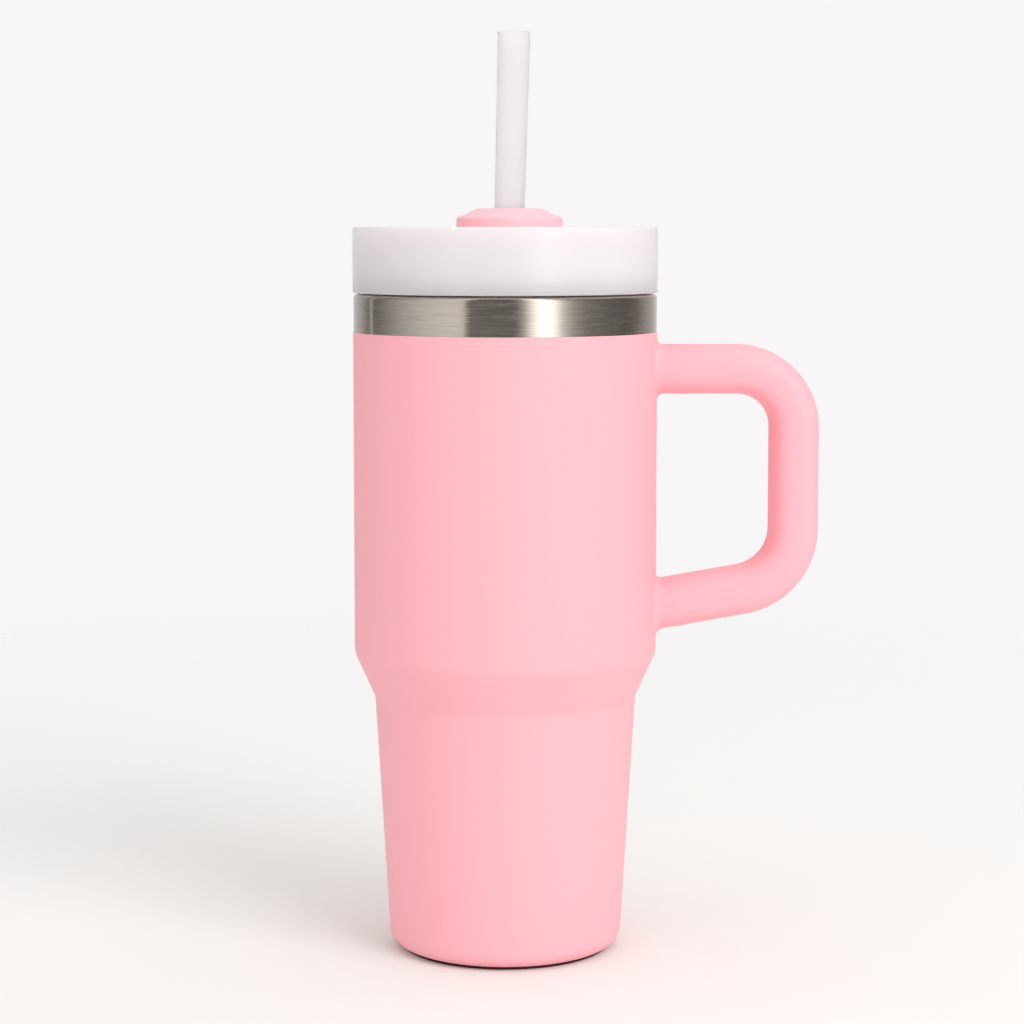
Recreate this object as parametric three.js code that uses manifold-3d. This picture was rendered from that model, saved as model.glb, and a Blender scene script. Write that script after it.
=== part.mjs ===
// Insulated tumbler: a double-walled steel cup with a side handle, a screw-on lid with a
// rotary sip cover, and a straw through the middle of that cover.
//
// Millimetres, +Z up. The origin is the middle of the base, on the surface the tumbler stands
// on. The handle points along +X and the sip opening towards -Y, where the drinker stands.
// Neighbouring pieces keep a gap of about 0.3 mm.

import * as THREE from 'three';
import { mergeVertices } from 'three/addons/utils/BufferGeometryUtils.js';
import Module from 'manifold-3d';

const wasm = await Module();
wasm.setup();

// ---- Driving dimensions ----

const GAP = 0.3;
const ROUND = 40; // segments round the body and the lid
const SMALL_ROUND = 20; // segments round small turned pieces
const ARC_STEPS = 2; // segments in a rounded corner of an outline

// Cup
const BODY_R = 49;
const SHEET = 0.6; // thickness of the steel sheet
const WALL_SPACING = 3.5; // from the outside of the shell to the inside of the liner
const SHELL_BOTTOM = 1;
const BASE_R = 37.5;
const TAPER_TOP_R = 42.4;
const TAPER_TOP = 82.7;
const SHOULDER = 97.2;
const BAND_BOTTOM = 201.3;
const BRIM = 213.2;
const LINER_TOP = 197;
const LINER_FLOOR = 9;
const LINER_FLOOR_R = 34.6; // where the liner's floor would meet its wall, before rounding
const FOOT_RING_R = 31.5; // inner edge of the shell's turned-in bottom
const PAD_R = 33.5;
const PAD_TOP = 1.6; // top of the pad's raised middle, inside the foot ring
const BASE_LIFT = 4; // top of the dished base plate
const PORT_R = 1.5; // the pump-out hole in the base plate
const SOLDER = { radius: 3, bottom: 2 };
const PELLET = { radius: 6, bottom: 6.6 };
const BRIM_THICKNESS = 0.8;
const BORE_R = BODY_R - WALL_SPACING;

// Thread between the lid and the neck: two starts, right-handed
const THREAD_LEAD = 8;
const THREAD_STARTS = 2;
const THREAD_SWEEP = 170; // degrees that each ridge covers
const THREAD_BOTTOM = 203; // height of the lower end of the neck's ridges
const THREAD_DEPTH = 1.4;
const THREAD_ROOT_HALF = 0.9; // half the height of a ridge where it meets the wall
const THREAD_CREST_HALF = 0.5;
const THREAD_OVERLAP = 0.2; // how far a ridge sinks into the wall that carries it
const THREAD_STEPS = 14;

// Lid
const LID_BOTTOM = BRIM + 0.4;
const LID_TOP = 234.6;
const LID_R = 49.3;
const LID_FLOOR = 227; // top of the recessed floor
const FLOOR_THICKNESS = 2;
const FLOOR_EDGE_R = 45.9; // inner radius of the lid's wall, at the floor
const MOUTH_R = 46.3; // the same at the top
const SKIRT_R = 46.9; // inner radius of the skirt that the gasket sits in
const PLUG_R = 43.9;
const PLUG_WALL = 2.5;
const PLUG_BOTTOM = 198.5;
const GASKET_R = 46.6;
const GASKET_TOP = 216.5;

// Rotary cover, turning about the straw hole
const COVER_X = 1.4;
const DISC_R = 42;
const DISC_BOTTOM = 228.3;
const DISC_TOP = 230.1;
const BOSS_R = 17.1;
const BOSS_WALL = 1.8;
const BOSS_SHOULDER = 236.9; // where the boss's upright side ends
const BOSS_FLANK = { radius: 14.4, height: 238.1 }; // the hollow of its sloping side
const BOSS_TOP = 240.5;
const CROWN_R = 10.2; // the flat top of the boss
const CROWN_THICKNESS = 2.1;
const SEAL_SEAT = 1.5; // from the top of the boss down to the straw seal's seat
const HUB_R = 8.7; // the sleeve that turns in the lid's floor
const HUB_WALL = 1.3;
const HUB_BOTTOM = 222;
const LIP = { radius: HUB_R + 0.7, height: 0.5 }; // holds the retainer at the hub's foot
const RETAINER_R = 12.5;
const STRAW_HOLE_R = 5.9;
const TAB = { end: 30.5, top: 233.2, width: 5, rounding: 1.5 }; // the thumb tab, from the boss outwards
const SIP_R = 36; // middle of the curved sip opening
const SIP_WIDTH = 6.5;
const SIP_ANGLE = -90; // degrees from the handle's side
const SIP_HALF_ANGLE = 13;
const SIP_SEAL_MARGIN = { width: 4, angle: 4 }; // how far the seal overlaps the opening
const VENT_ANGLE = 60;
const VENT_R = 1.5;
const COVER_TRAVEL = 90; // degrees from closed to open
const STOP_ANGLE = 45; // the lug on the lid that ends the cover's turn
const STOP_HALF_ANGLE = 4;
const STOP_SLACK = 2;
const STOP_INNER_R = DISC_R - 1.6;

// Straw seal, a ring that narrows from its foot to a lip round the straw
const STRAW_SEAL = { bottom: 230, taperFrom: 235, taperTo: 236.5, lipR: 5.35 };

// Straw
const STRAW_LEAN = 1.45; // degrees towards the handle
const STRAW_X = 1.45; // where its axis passes the top of the boss
const STRAW_R = 4.84;
const STRAW_SPREAD = 0.3; // how much wider its mouth is
const STRAW_WALL = 1;
const STRAW_ABOVE = 56.3;
const STRAW_BELOW = 226;
const BEAD = -214; // middle of the bead that stops it being pulled out upwards
const BEAD_R = 3;

// Handle
const GRIP_HALF = { thick: 8.05, deep: 10.8, rounding: 6.5 };
const CORE_HALF = { thick: 4.8, deep: 7.3 };
const CAVITY_HALF = { thick: CORE_HALF.thick + GAP, deep: CORE_HALF.deep + GAP };
const CORE_START_R = BODY_R + 2.6; // the core ends this far from the cup's axis
const HANDLE_X = 93.4; // middle of the upright bar
const UPPER_ARM_Z = 188.95;
const LOWER_ARM_Z = 112.35; // where the lower arm's axis meets the shell
const LOWER_ARM_SLOPE = 10; // degrees above level, going outwards
const UPPER_BEND_R = 18.8;
const LOWER_BEND_R = 20.3;
const WELD_PLATE = { thickness: 1.9, halfWidth: 6.6, half: 4.5 };
const TONGUE = { end: 62.8, halfWidth: 4, half: 2.5 };
const SCREW_X = 56.5;
const SHANK_R = 1.8;
const SCREW_TIP = 1.5; // above the arm's middle line
const SCREW_HEAD = { radius: 3.2, height: 1.6 };
const PLUG_HOLE_R = 4.2; // the hole that the screw's cap fills
const HANDLE_STEPS = 30;
const SCREW_ROUND = 12; // segments round a screw

const radians = THREE.MathUtils.degToRad;

// ---- Solids ----

const toSolid = (geometry) => {
  const bare = geometry.clone();
  bare.deleteAttribute('normal');
  bare.deleteAttribute('uv');
  const merged = mergeVertices(bare, 1e-4);
  return new wasm.Manifold(
    new wasm.Mesh({
      numProp: 3,
      vertProperties: merged.attributes.position.array,
      triVerts: new Uint32Array(merged.index.array),
    }),
  );
};

const toGeometry = (solid) => {
  const mesh = solid.getMesh();
  const geometry = new THREE.BufferGeometry();
  geometry.setAttribute('position', new THREE.BufferAttribute(mesh.vertProperties, 3));
  geometry.setIndex(new THREE.BufferAttribute(mesh.triVerts, 1));
  geometry.computeVertexNormals();
  return geometry;
};

// The base geometry with some geometries joined on and others cut away.
function combine(base, { add = [], cut = [] }) {
  const joined = add.reduce((solid, extra) => solid.add(toSolid(extra)), toSolid(base));
  return toGeometry(cut.reduce((solid, tool) => solid.subtract(toSolid(tool)), joined));
}

// Points of a closed outline given by its corners [x, y, radius]; a radius rounds the corner.
function outline(corners) {
  const at = (i) => new THREE.Vector2(...corners.at(i % corners.length).slice(0, 2));
  return corners.flatMap(([, , radius], i) => {
    const corner = at(i);
    if (!radius) return [corner];
    const back = at(i - 1 + corners.length).sub(corner).normalize();
    const ahead = at(i + 1).sub(corner).normalize();
    const half = Math.acos(THREE.MathUtils.clamp(back.dot(ahead), -1, 1)) / 2;
    const centre = back.clone().add(ahead).setLength(radius / Math.sin(half)).add(corner);
    const start = back.multiplyScalar(radius / Math.tan(half)).add(corner).sub(centre);
    const turn = (Math.PI - 2 * half) * Math.sign(start.cross(corner.clone().sub(centre)));
    return Array.from({ length: ARC_STEPS + 1 }, (_, k) =>
      start.clone().rotateAround(new THREE.Vector2(), (turn * k) / ARC_STEPS).add(centre),
    );
  });
}

// A solid of revolution about Z from corners [radius, height, rounding], anticlockwise.
function revolve(corners, segments = ROUND) {
  const points = outline(corners);
  if (corners[0][0] > 0) points.push(points[0].clone());
  return new THREE.LatheGeometry(points, segments).rotateX(Math.PI / 2);
}

const shapeOf = (corners) => new THREE.Shape(outline(corners));

// A flat plate between two heights.
function plate(shape, bottom, top, curveSegments = 8) {
  const settings = { depth: top - bottom, bevelEnabled: false, curveSegments };
  return new THREE.ExtrudeGeometry(shape, settings).translate(0, 0, bottom);
}

const cylinder = (radius, bottom, top, segments = SMALL_ROUND) =>
  new THREE.CylinderGeometry(radius, radius, top - bottom, segments)
    .rotateX(Math.PI / 2)
    .translate(0, 0, (bottom + top) / 2);

// A curved slot with round ends, bent about the origin. Angles are in degrees.
function arcSlot(middle, width, centre, halfAngle) {
  const from = radians(centre - halfAngle);
  const to = radians(centre + halfAngle);
  const end = (angle) => [middle * Math.cos(angle), middle * Math.sin(angle)];
  const shape = new THREE.Shape();
  shape.absarc(0, 0, middle + width / 2, from, to, false);
  shape.absarc(...end(to), width / 2, to, to + Math.PI, false);
  shape.absarc(0, 0, middle - width / 2, to, from, true);
  shape.absarc(...end(from), width / 2, from - Math.PI, from, false);
  return shape;
}

// A piece of a flat ring between two angles in degrees.
function ringSector(inner, outer, from, to) {
  const shape = new THREE.Shape();
  shape.absarc(0, 0, outer, radians(from), radians(to), false);
  shape.absarc(0, 0, inner, radians(to), radians(from), true);
  return shape;
}

function piece(name, geometry, material) {
  const mesh = new THREE.Mesh(geometry, material);
  mesh.name = name;
  return mesh;
}

// ---- Materials ----

const material = (color, roughness, metalness = 0) =>
  new THREE.MeshStandardMaterial({ color, roughness, metalness });

const pinkCoat = material('#fbb4c0', 0.6);
const pinkPlastic = material('#fbb6c2', 0.5);
const brushedSteel = material('#b3aca3', 0.3, 1);
const frostedPlastic = material('#eee8ec', 0.35);
const strawPlastic = material('#ece6e5', 0.3);
const silicone = material('#e8e4e4', 0.6);
const padRubber = material('#5b4347', 0.8);
const coreNylon = material('#d9d4d0', 0.6);
const zincSteel = material('#b9bcc0', 0.35, 1);
const solderGlass = material('#8d8f88', 0.25);
const getterMetal = material('#6f6d6b', 0.6, 1);

// ---- Cup ----

// The two corners of the cup's shoulder, moved inwards and upwards, as [radius, height].
const wallCorners = (inset, lift) => [
  [TAPER_TOP_R - inset, TAPER_TOP + lift],
  [BODY_R - inset, SHOULDER + lift],
];

function outerShell() {
  const top = BAND_BOTTOM - GAP;
  return revolve([
    [FOOT_RING_R, SHELL_BOTTOM],
    [BASE_R, SHELL_BOTTOM, 5.5],
    ...wallCorners(0, 0),
    [BODY_R, top],
    [BODY_R - SHEET, top],
    ...wallCorners(SHEET, 0.1).reverse(),
    [BASE_R - SHEET, SHELL_BOTTOM + SHEET, 4.9],
    [FOOT_RING_R, SHELL_BOTTOM + SHEET],
  ]);
}

function innerLiner() {
  const outer = WALL_SPACING - SHEET;
  return revolve([
    [0, LINER_FLOOR - SHEET],
    [LINER_FLOOR_R + SHEET, LINER_FLOOR - SHEET, 6.6],
    ...wallCorners(outer, 1.2),
    [BORE_R + SHEET, LINER_TOP],
    [BORE_R, LINER_TOP],
    ...wallCorners(WALL_SPACING, 1.3).reverse(),
    [LINER_FLOOR_R, LINER_FLOOR, 6],
    [0, LINER_FLOOR],
  ]);
}

// A screw line about Z that starts at angle 0 and height 0.
class Helix extends THREE.Curve {
  constructor(radius, lead, sweep) {
    super();
    Object.assign(this, { radius, lead, sweep });
  }
  getPoint(t, target = new THREE.Vector3()) {
    const angle = radians(this.sweep) * t;
    const height = (this.lead * this.sweep * t) / 360;
    return target.set(this.radius * Math.cos(angle), this.radius * Math.sin(angle), height);
  }
}

// The thread ridges of one side. Inwards is 1 for the neck's and -1 for the lid's.
function threadRidges(radius, inwards, bottom) {
  const root = { x: (-THREAD_DEPTH / 2) * inwards, half: THREAD_ROOT_HALF };
  const crest = { x: (THREAD_DEPTH / 2) * inwards, half: THREAD_CREST_HALF };
  const section = shapeOf([
    [root.x, -root.half],
    [crest.x, -crest.half],
    [crest.x, crest.half],
    [root.x, root.half],
  ]);
  const extrudePath = new Helix(radius, THREAD_LEAD, THREAD_SWEEP);
  return Array.from({ length: THREAD_STARTS }, (_, start) =>
    new THREE.ExtrudeGeometry(section, { extrudePath, steps: THREAD_STEPS })
      .rotateZ((start * 2 * Math.PI) / THREAD_STARTS)
      .translate(0, 0, bottom),
  );
}

// The bare neck: an upturned channel that closes the wall space and carries the thread.
function steelRim() {
  const channel = revolve([
    [BODY_R, BAND_BOTTOM],
    [BODY_R, BRIM, 1.3],
    [BORE_R, BRIM, 1.3],
    [BORE_R, LINER_TOP + GAP],
    [BORE_R + SHEET, LINER_TOP + GAP],
    [BORE_R + SHEET, BRIM - BRIM_THICKNESS],
    [BODY_R - SHEET, BRIM - BRIM_THICKNESS],
    [BODY_R - SHEET, BAND_BOTTOM],
  ]);
  const ridgeR = BORE_R + THREAD_OVERLAP - THREAD_DEPTH / 2;
  return combine(channel, { add: threadRidges(ridgeR, 1, THREAD_BOTTOM) });
}

function outerBase() {
  const rim = FOOT_RING_R - GAP;
  return revolve([
    [PORT_R, BASE_LIFT - SHEET],
    [rim - SHEET, BASE_LIFT - SHEET],
    [rim - SHEET, SHELL_BOTTOM],
    [rim, SHELL_BOTTOM],
    [rim, BASE_LIFT],
    [PORT_R, BASE_LIFT],
  ]);
}

const vacuumPlug = () => cylinder(SOLDER.radius, SOLDER.bottom, BASE_LIFT - SHEET - GAP);

const getter = () => cylinder(PELLET.radius, PELLET.bottom, LINER_FLOOR - SHEET - GAP);

function basePad() {
  const ledge = SHELL_BOTTOM - GAP;
  const centreR = FOOT_RING_R - 1.3;
  return revolve([
    [0, 0],
    [PAD_R, 0],
    [PAD_R, ledge],
    [centreR, ledge],
    [centreR, PAD_TOP],
    [0, PAD_TOP],
  ]);
}

// ---- Handle ----

// Where each arm's own frame stands: X runs out along the arm, and Z is across it.
const upperArm = new THREE.Matrix4().makeTranslation(0, 0, UPPER_ARM_Z);
const lowerArm = new THREE.Matrix4()
  .makeRotationY(-radians(LOWER_ARM_SLOPE))
  .setPosition(0, 0, LOWER_ARM_Z - BODY_R * Math.tan(radians(LOWER_ARM_SLOPE)));

// The handle's centre line, drawn in (x, z) from the upper arm round to the lower one.
function handleLine() {
  const slope = radians(LOWER_ARM_SLOPE);
  const startX = BODY_R - 4;
  const armZ = (x) => LOWER_ARM_Z + (x - BODY_R) * Math.tan(slope);
  const upper = { x: HANDLE_X - UPPER_BEND_R, y: UPPER_ARM_Z - UPPER_BEND_R };
  const lowerX = HANDLE_X - LOWER_BEND_R;
  const lower = { x: lowerX, y: armZ(lowerX) + LOWER_BEND_R / Math.cos(slope) };
  return new THREE.Path()
    .moveTo(startX, UPPER_ARM_Z)
    .lineTo(upper.x, UPPER_ARM_Z)
    .absarc(upper.x, upper.y, UPPER_BEND_R, Math.PI / 2, 0, true)
    .absarc(lower.x, lower.y, LOWER_BEND_R, 0, slope - Math.PI / 2, true)
    .lineTo(startX, armZ(startX));
}

// A path drawn in (x, z), stood up in the plane y = 0.
class UprightCurve extends THREE.Curve {
  constructor(path) {
    super();
    this.path = path;
  }
  getPoint(t, target = new THREE.Vector3()) {
    const { x, y } = this.path.getPoint(t);
    return target.set(x, 0, y);
  }
}

// The handle's line swept with a rectangle, whose corners may be rounded.
function sweepHandle({ thick, deep, rounding }) {
  const section = shapeOf([
    [-thick, -deep, rounding],
    [thick, -deep, rounding],
    [thick, deep, rounding],
    [-thick, deep, rounding],
  ]);
  const extrudePath = new UprightCurve(handleLine());
  return new THREE.ExtrudeGeometry(section, { extrudePath, steps: HANDLE_STEPS });
}

const bothArms = (geometry) => [
  geometry.clone().applyMatrix4(upperArm),
  geometry.clone().applyMatrix4(lowerArm),
];

// An upright cylinder as wide as the cup, to shape whatever is fixed to it.
const cupShape = (radius) => cylinder(radius, 60, 240, ROUND);

const box = (x0, x1, halfY, z0, z1) =>
  new THREE.BoxGeometry(x1 - x0, 2 * halfY, z1 - z0).translate((x0 + x1) / 2, 0, (z0 + z1) / 2);

const screwHole = (radius, z0, z1) => cylinder(radius, z0, z1, SCREW_ROUND).translate(SCREW_X, 0, 0);

function handleGrip() {
  const plugHoles = bothArms(screwHole(PLUG_HOLE_R, -GRIP_HALF.thick - 1, 0));
  return combine(sweepHandle(GRIP_HALF), {
    cut: [sweepHandle(CAVITY_HALF), cupShape(BODY_R + GAP), ...plugHoles],
  });
}

function handleCore() {
  const socket = box(BODY_R, TONGUE.end + 0.5, TONGUE.halfWidth + GAP, -TONGUE.half - GAP, TONGUE.half + GAP);
  const screw = screwHole(SHANK_R + GAP, -CORE_HALF.thick - 1, 0);
  return combine(sweepHandle(CORE_HALF), {
    cut: [cupShape(CORE_START_R), ...bothArms(socket), ...bothArms(screw)],
  });
}

// A weld plate that hugs the shell, with a tongue for the handle's core.
function bracket(arm) {
  const { thickness, halfWidth, half } = WELD_PLATE;
  const weldPlate = box(BODY_R - 2, BODY_R + thickness, halfWidth, -half, half);
  const tongue = box(BODY_R, TONGUE.end, TONGUE.halfWidth, -TONGUE.half, TONGUE.half);
  const hole = screwHole(SHANK_R + GAP, -10, 10);
  const made = combine(weldPlate, { add: [tongue], cut: [hole] }).applyMatrix4(arm);
  return combine(made, { cut: [cupShape(BODY_R + GAP)] });
}

function handleScrew() {
  const seat = -CORE_HALF.thick - GAP;
  return revolve([
    [0, seat - SCREW_HEAD.height],
    [SCREW_HEAD.radius, seat - SCREW_HEAD.height],
    [SCREW_HEAD.radius, seat],
    [SHANK_R, seat],
    [SHANK_R, SCREW_TIP],
    [0, SCREW_TIP],
  ], SCREW_ROUND);
}

function screwCap() {
  const top = -CORE_HALF.thick - 2 * GAP - SCREW_HEAD.height;
  return cylinder(PLUG_HOLE_R - GAP, -GRIP_HALF.thick + 0.1, top, SCREW_ROUND);
}

// ---- Lid ----

const aboutCover = (geometry) => geometry.translate(COVER_X, 0, 0);
const ventHole = (angle, bottom, top) =>
  cylinder(VENT_R, bottom, top, 8).translate(SIP_R, 0, 0).rotateZ(radians(angle));

function lidBody() {
  const plugInnerR = PLUG_R - PLUG_WALL;
  const underside = LID_FLOOR - FLOOR_THICKNESS;
  const seat = GASKET_TOP + GAP;
  const shell = revolve([
    [0, underside],
    [plugInnerR, underside],
    [plugInnerR, PLUG_BOTTOM],
    [PLUG_R, PLUG_BOTTOM, 0.8],
    [PLUG_R, seat],
    [SKIRT_R, seat],
    [SKIRT_R, LID_BOTTOM],
    [LID_R, LID_BOTTOM],
    [LID_R - 0.2, LID_TOP, 1.2],
    [MOUTH_R, LID_TOP],
    [FLOOR_EDGE_R, LID_FLOOR],
    [0, LID_FLOOR],
  ]);
  const through = [underside - 1, LID_FLOOR + 1];
  const sipSlot = arcSlot(SIP_R, SIP_WIDTH, SIP_ANGLE, SIP_HALF_ANGLE);
  const lug = ringSector(
    STOP_INNER_R,
    DISC_R + 1,
    STOP_ANGLE - STOP_HALF_ANGLE,
    STOP_ANGLE + STOP_HALF_ANGLE,
  );
  const ridgeR = PLUG_R - THREAD_OVERLAP + THREAD_DEPTH / 2;
  return combine(shell, {
    add: [
      ...threadRidges(ridgeR, -1, THREAD_BOTTOM - THREAD_LEAD / THREAD_STARTS / 2),
      aboutCover(plate(lug, LID_FLOOR - 0.5, DISC_TOP - 0.3, 4)),
    ],
    cut: [
      aboutCover(cylinder(HUB_R + GAP + 0.05, ...through)),
      aboutCover(plate(sipSlot, ...through)),
      aboutCover(ventHole(VENT_ANGLE, ...through)),
    ],
  });
}

function lidGasket() {
  const inner = PLUG_R + GAP;
  const bottom = BRIM + GAP;
  return revolve([
    [inner, bottom],
    [GASKET_R, bottom],
    [GASKET_R, GASKET_TOP],
    [inner, GASKET_TOP],
  ]);
}

// ---- Rotary cover, in the frame of its own axis ----

// The thumb tab, which stands opposite the sip opening and is sunk into the disc and the boss.
function thumbTab() {
  const from = BOSS_R - 0.6;
  const bottom = DISC_TOP - 0.5;
  const side = shapeOf([
    [from, bottom],
    [TAB.end, bottom],
    [TAB.end, TAB.top, TAB.rounding],
    [from, TAB.top],
  ]);
  return new THREE.ExtrudeGeometry(side, { depth: TAB.width, bevelEnabled: false })
    .translate(0, 0, -TAB.width / 2)
    .rotateX(Math.PI / 2)
    .rotateZ(Math.PI / 2);
}

function rotaryCover() {
  const bore = HUB_R - HUB_WALL;
  const lipTop = HUB_BOTTOM + LIP.height;
  const crownUnderside = BOSS_TOP - CROWN_THICKNESS;
  const seat = BOSS_TOP - SEAL_SEAT;
  const body = revolve([
    [bore, seat],
    [bore, HUB_BOTTOM],
    [LIP.radius, HUB_BOTTOM],
    [LIP.radius, lipTop],
    [HUB_R, lipTop],
    [HUB_R, crownUnderside],
    [CROWN_R, crownUnderside],
    [BOSS_R - BOSS_WALL, BOSS_SHOULDER - 1.3],
    [BOSS_R - BOSS_WALL, DISC_BOTTOM],
    [DISC_R, DISC_BOTTOM],
    [DISC_R, DISC_TOP],
    [BOSS_R, DISC_TOP],
    [BOSS_R, BOSS_SHOULDER],
    [BOSS_FLANK.radius, BOSS_FLANK.height],
    [CROWN_R, BOSS_TOP],
    [STRAW_HOLE_R, BOSS_TOP],
    [STRAW_HOLE_R, seat],
  ]);
  const through = [DISC_BOTTOM - 1, DISC_TOP + 1];
  const window = arcSlot(SIP_R, SIP_WIDTH + 1, SIP_ANGLE - COVER_TRAVEL, SIP_HALF_ANGLE + 1);
  const past = STOP_HALF_ANGLE + STOP_SLACK;
  const notch = ringSector(
    STOP_INNER_R - GAP,
    DISC_R + 1,
    STOP_ANGLE - COVER_TRAVEL - past,
    STOP_ANGLE + past,
  );
  return combine(body, {
    add: [thumbTab()],
    cut: [
      plate(window, ...through),
      plate(notch, ...through, 12),
      ventHole(VENT_ANGLE - COVER_TRAVEL, ...through),
    ],
  });
}

function sipSeal() {
  const width = SIP_WIDTH + SIP_SEAL_MARGIN.width;
  const halfAngle = SIP_HALF_ANGLE + SIP_SEAL_MARGIN.angle;
  return plate(arcSlot(SIP_R, width, SIP_ANGLE, halfAngle), LID_FLOOR + GAP, DISC_BOTTOM - GAP);
}

function coverRetainer() {
  const bottom = HUB_BOTTOM + LIP.height + GAP;
  const top = LID_FLOOR - FLOOR_THICKNESS - GAP;
  return revolve([
    [HUB_R + GAP, bottom],
    [RETAINER_R, bottom],
    [RETAINER_R, top],
    [HUB_R + GAP, top],
  ], SMALL_ROUND);
}

function strawSeal() {
  const { bottom, taperFrom, taperTo, lipR } = STRAW_SEAL;
  const top = BOSS_TOP - SEAL_SEAT - GAP;
  const outer = HUB_R - HUB_WALL - GAP;
  return revolve([
    [outer, bottom],
    [outer, top],
    [lipR, top],
    [lipR, taperTo],
    [STRAW_HOLE_R, taperFrom],
    [STRAW_HOLE_R, bottom],
  ], SMALL_ROUND);
}

// ---- Straw, in the frame of its own axis, from where that axis passes the top of the boss ----

function straw() {
  const bore = STRAW_R - STRAW_WALL;
  return revolve([
    [bore, -STRAW_BELOW],
    [STRAW_R, -STRAW_BELOW],
    [STRAW_R, BEAD - BEAD_R],
    [STRAW_R + BEAD_R, BEAD],
    [STRAW_R, BEAD + BEAD_R],
    [STRAW_R, 0],
    [STRAW_R + STRAW_SPREAD, STRAW_ABOVE],
    [bore + STRAW_SPREAD, STRAW_ABOVE],
    [bore, 0],
  ], SMALL_ROUND);
}

// ---- Assembly ----

const cup = new THREE.Group();
cup.add(
  piece('outer_shell', outerShell(), pinkCoat),
  piece('inner_liner', innerLiner(), brushedSteel),
  piece('steel_rim', steelRim(), brushedSteel),
  piece('outer_base', outerBase(), brushedSteel),
  piece('base_pad', basePad(), padRubber),
  piece('vacuum_plug', vacuumPlug(), solderGlass),
  piece('getter', getter(), getterMetal),
);

const handle = new THREE.Group();
handle.add(
  piece('handle_grip', handleGrip(), pinkPlastic),
  piece('handle_core', handleCore(), coreNylon),
);
for (const [side, frame] of [['upper', upperArm], ['lower', lowerArm]]) {
  const fixings = new THREE.Group();
  fixings.applyMatrix4(frame);
  const screw = piece(`${side}_handle_screw`, handleScrew(), zincSteel);
  const cap = piece(`${side}_screw_cap`, screwCap(), pinkPlastic);
  screw.position.x = SCREW_X;
  cap.position.x = SCREW_X;
  fixings.add(screw, cap);
  handle.add(piece(`${side}_bracket`, bracket(frame), brushedSteel), fixings);
}

const cover = new THREE.Group();
cover.position.x = COVER_X;
cover.add(
  piece('rotary_cover', rotaryCover(), pinkPlastic),
  piece('sip_seal', sipSeal(), silicone),
  piece('cover_retainer', coverRetainer(), frostedPlastic),
  piece('straw_seal', strawSeal(), silicone),
);

const strawParts = new THREE.Group();
strawParts.position.set(STRAW_X, 0, BOSS_TOP);
strawParts.rotation.y = radians(STRAW_LEAN);
strawParts.add(piece('straw', straw(), strawPlastic));

const lid = new THREE.Group();
lid.add(
  piece('lid_body', lidBody(), frostedPlastic),
  piece('lid_gasket', lidGasket(), silicone),
  cover,
  strawParts,
);

const tumbler = new THREE.Group();
tumbler.add(cup, handle, lid);

export default tumbler;
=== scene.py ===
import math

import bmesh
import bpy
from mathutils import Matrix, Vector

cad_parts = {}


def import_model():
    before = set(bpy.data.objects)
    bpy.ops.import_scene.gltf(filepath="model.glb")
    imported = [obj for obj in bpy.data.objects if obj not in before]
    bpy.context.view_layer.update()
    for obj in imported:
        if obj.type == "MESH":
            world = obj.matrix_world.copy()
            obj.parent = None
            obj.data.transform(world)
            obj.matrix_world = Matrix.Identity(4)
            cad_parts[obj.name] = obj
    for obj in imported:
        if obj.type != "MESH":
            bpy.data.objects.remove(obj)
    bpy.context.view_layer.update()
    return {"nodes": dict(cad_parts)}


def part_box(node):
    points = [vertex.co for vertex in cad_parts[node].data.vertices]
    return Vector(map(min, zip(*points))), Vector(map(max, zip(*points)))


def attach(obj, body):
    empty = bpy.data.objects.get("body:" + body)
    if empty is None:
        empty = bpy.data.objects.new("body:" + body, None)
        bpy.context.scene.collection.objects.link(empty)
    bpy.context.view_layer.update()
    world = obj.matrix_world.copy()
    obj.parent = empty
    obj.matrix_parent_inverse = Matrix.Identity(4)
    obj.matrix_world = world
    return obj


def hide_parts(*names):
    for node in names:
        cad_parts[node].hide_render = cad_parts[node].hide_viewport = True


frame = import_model()

# The looks of an insulated tumbler with a side handle, a frosted screw lid, a pink rotary sip
# cover and a straw. The pieces are built here as fine meshes in the frame's own places, except
# that the handle's core and brackets keep their CAD shapes. Metres, +Z up: the handle points along
# +X and the drinker stands towards -Y.

MM = 0.001
ROUND = 224  # segments round the cup and the lid
SMALL_ROUND = 96  # segments round small turned pieces
ARC_STEP = math.radians(9)  # turn between two points of a rounded corner
SHARP = math.radians(32)  # an edge sharper than this is shaded as a crease
SLIVER = 0.002 * MM  # points closer than this after a cut are one point


# ---- Sizes, from the frame ----

def low(node):
    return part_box(node)[0]


def high(node):
    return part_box(node)[1]


BODY_R = high("outer_shell").x
SHELL_BOTTOM = 0.75 * MM  # the coat ends this far above the floor
COAT_TOP = high("outer_shell").z
SHEET = 0.6 * MM
STEP_IN = 0.15 * MM  # how far the bare steel lies under the coat's surface
BRIM = high("steel_rim").z
LINER_TOP = high("inner_liner").z
LINER_FLOOR = low("inner_liner").z + SHEET
BORE_R = high("inner_liner").x - SHEET
LINER_FLOOR_R = 34.6 * MM
LINER_TOP_GAP = 0.1 * MM  # between the liner's top edge and the neck
BASE_R = 37.5 * MM
TAPER_TOP_R = 42.4 * MM
TAPER_TOP = 82.7 * MM
SHOULDER = 97.2 * MM
FOOT_RING_R = high("outer_base").x + 0.3 * MM  # the hole in the coat's underside
PAD_R = high("base_pad").x

THREAD_LEAD = 8 * MM
THREAD_STARTS = 2
THREAD_SWEEP = math.radians(170)
THREAD_DEPTH = 1.3 * MM
NECK_THREAD_Z = 203 * MM
LID_THREAD_Z = NECK_THREAD_Z - THREAD_LEAD / THREAD_STARTS / 2

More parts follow.
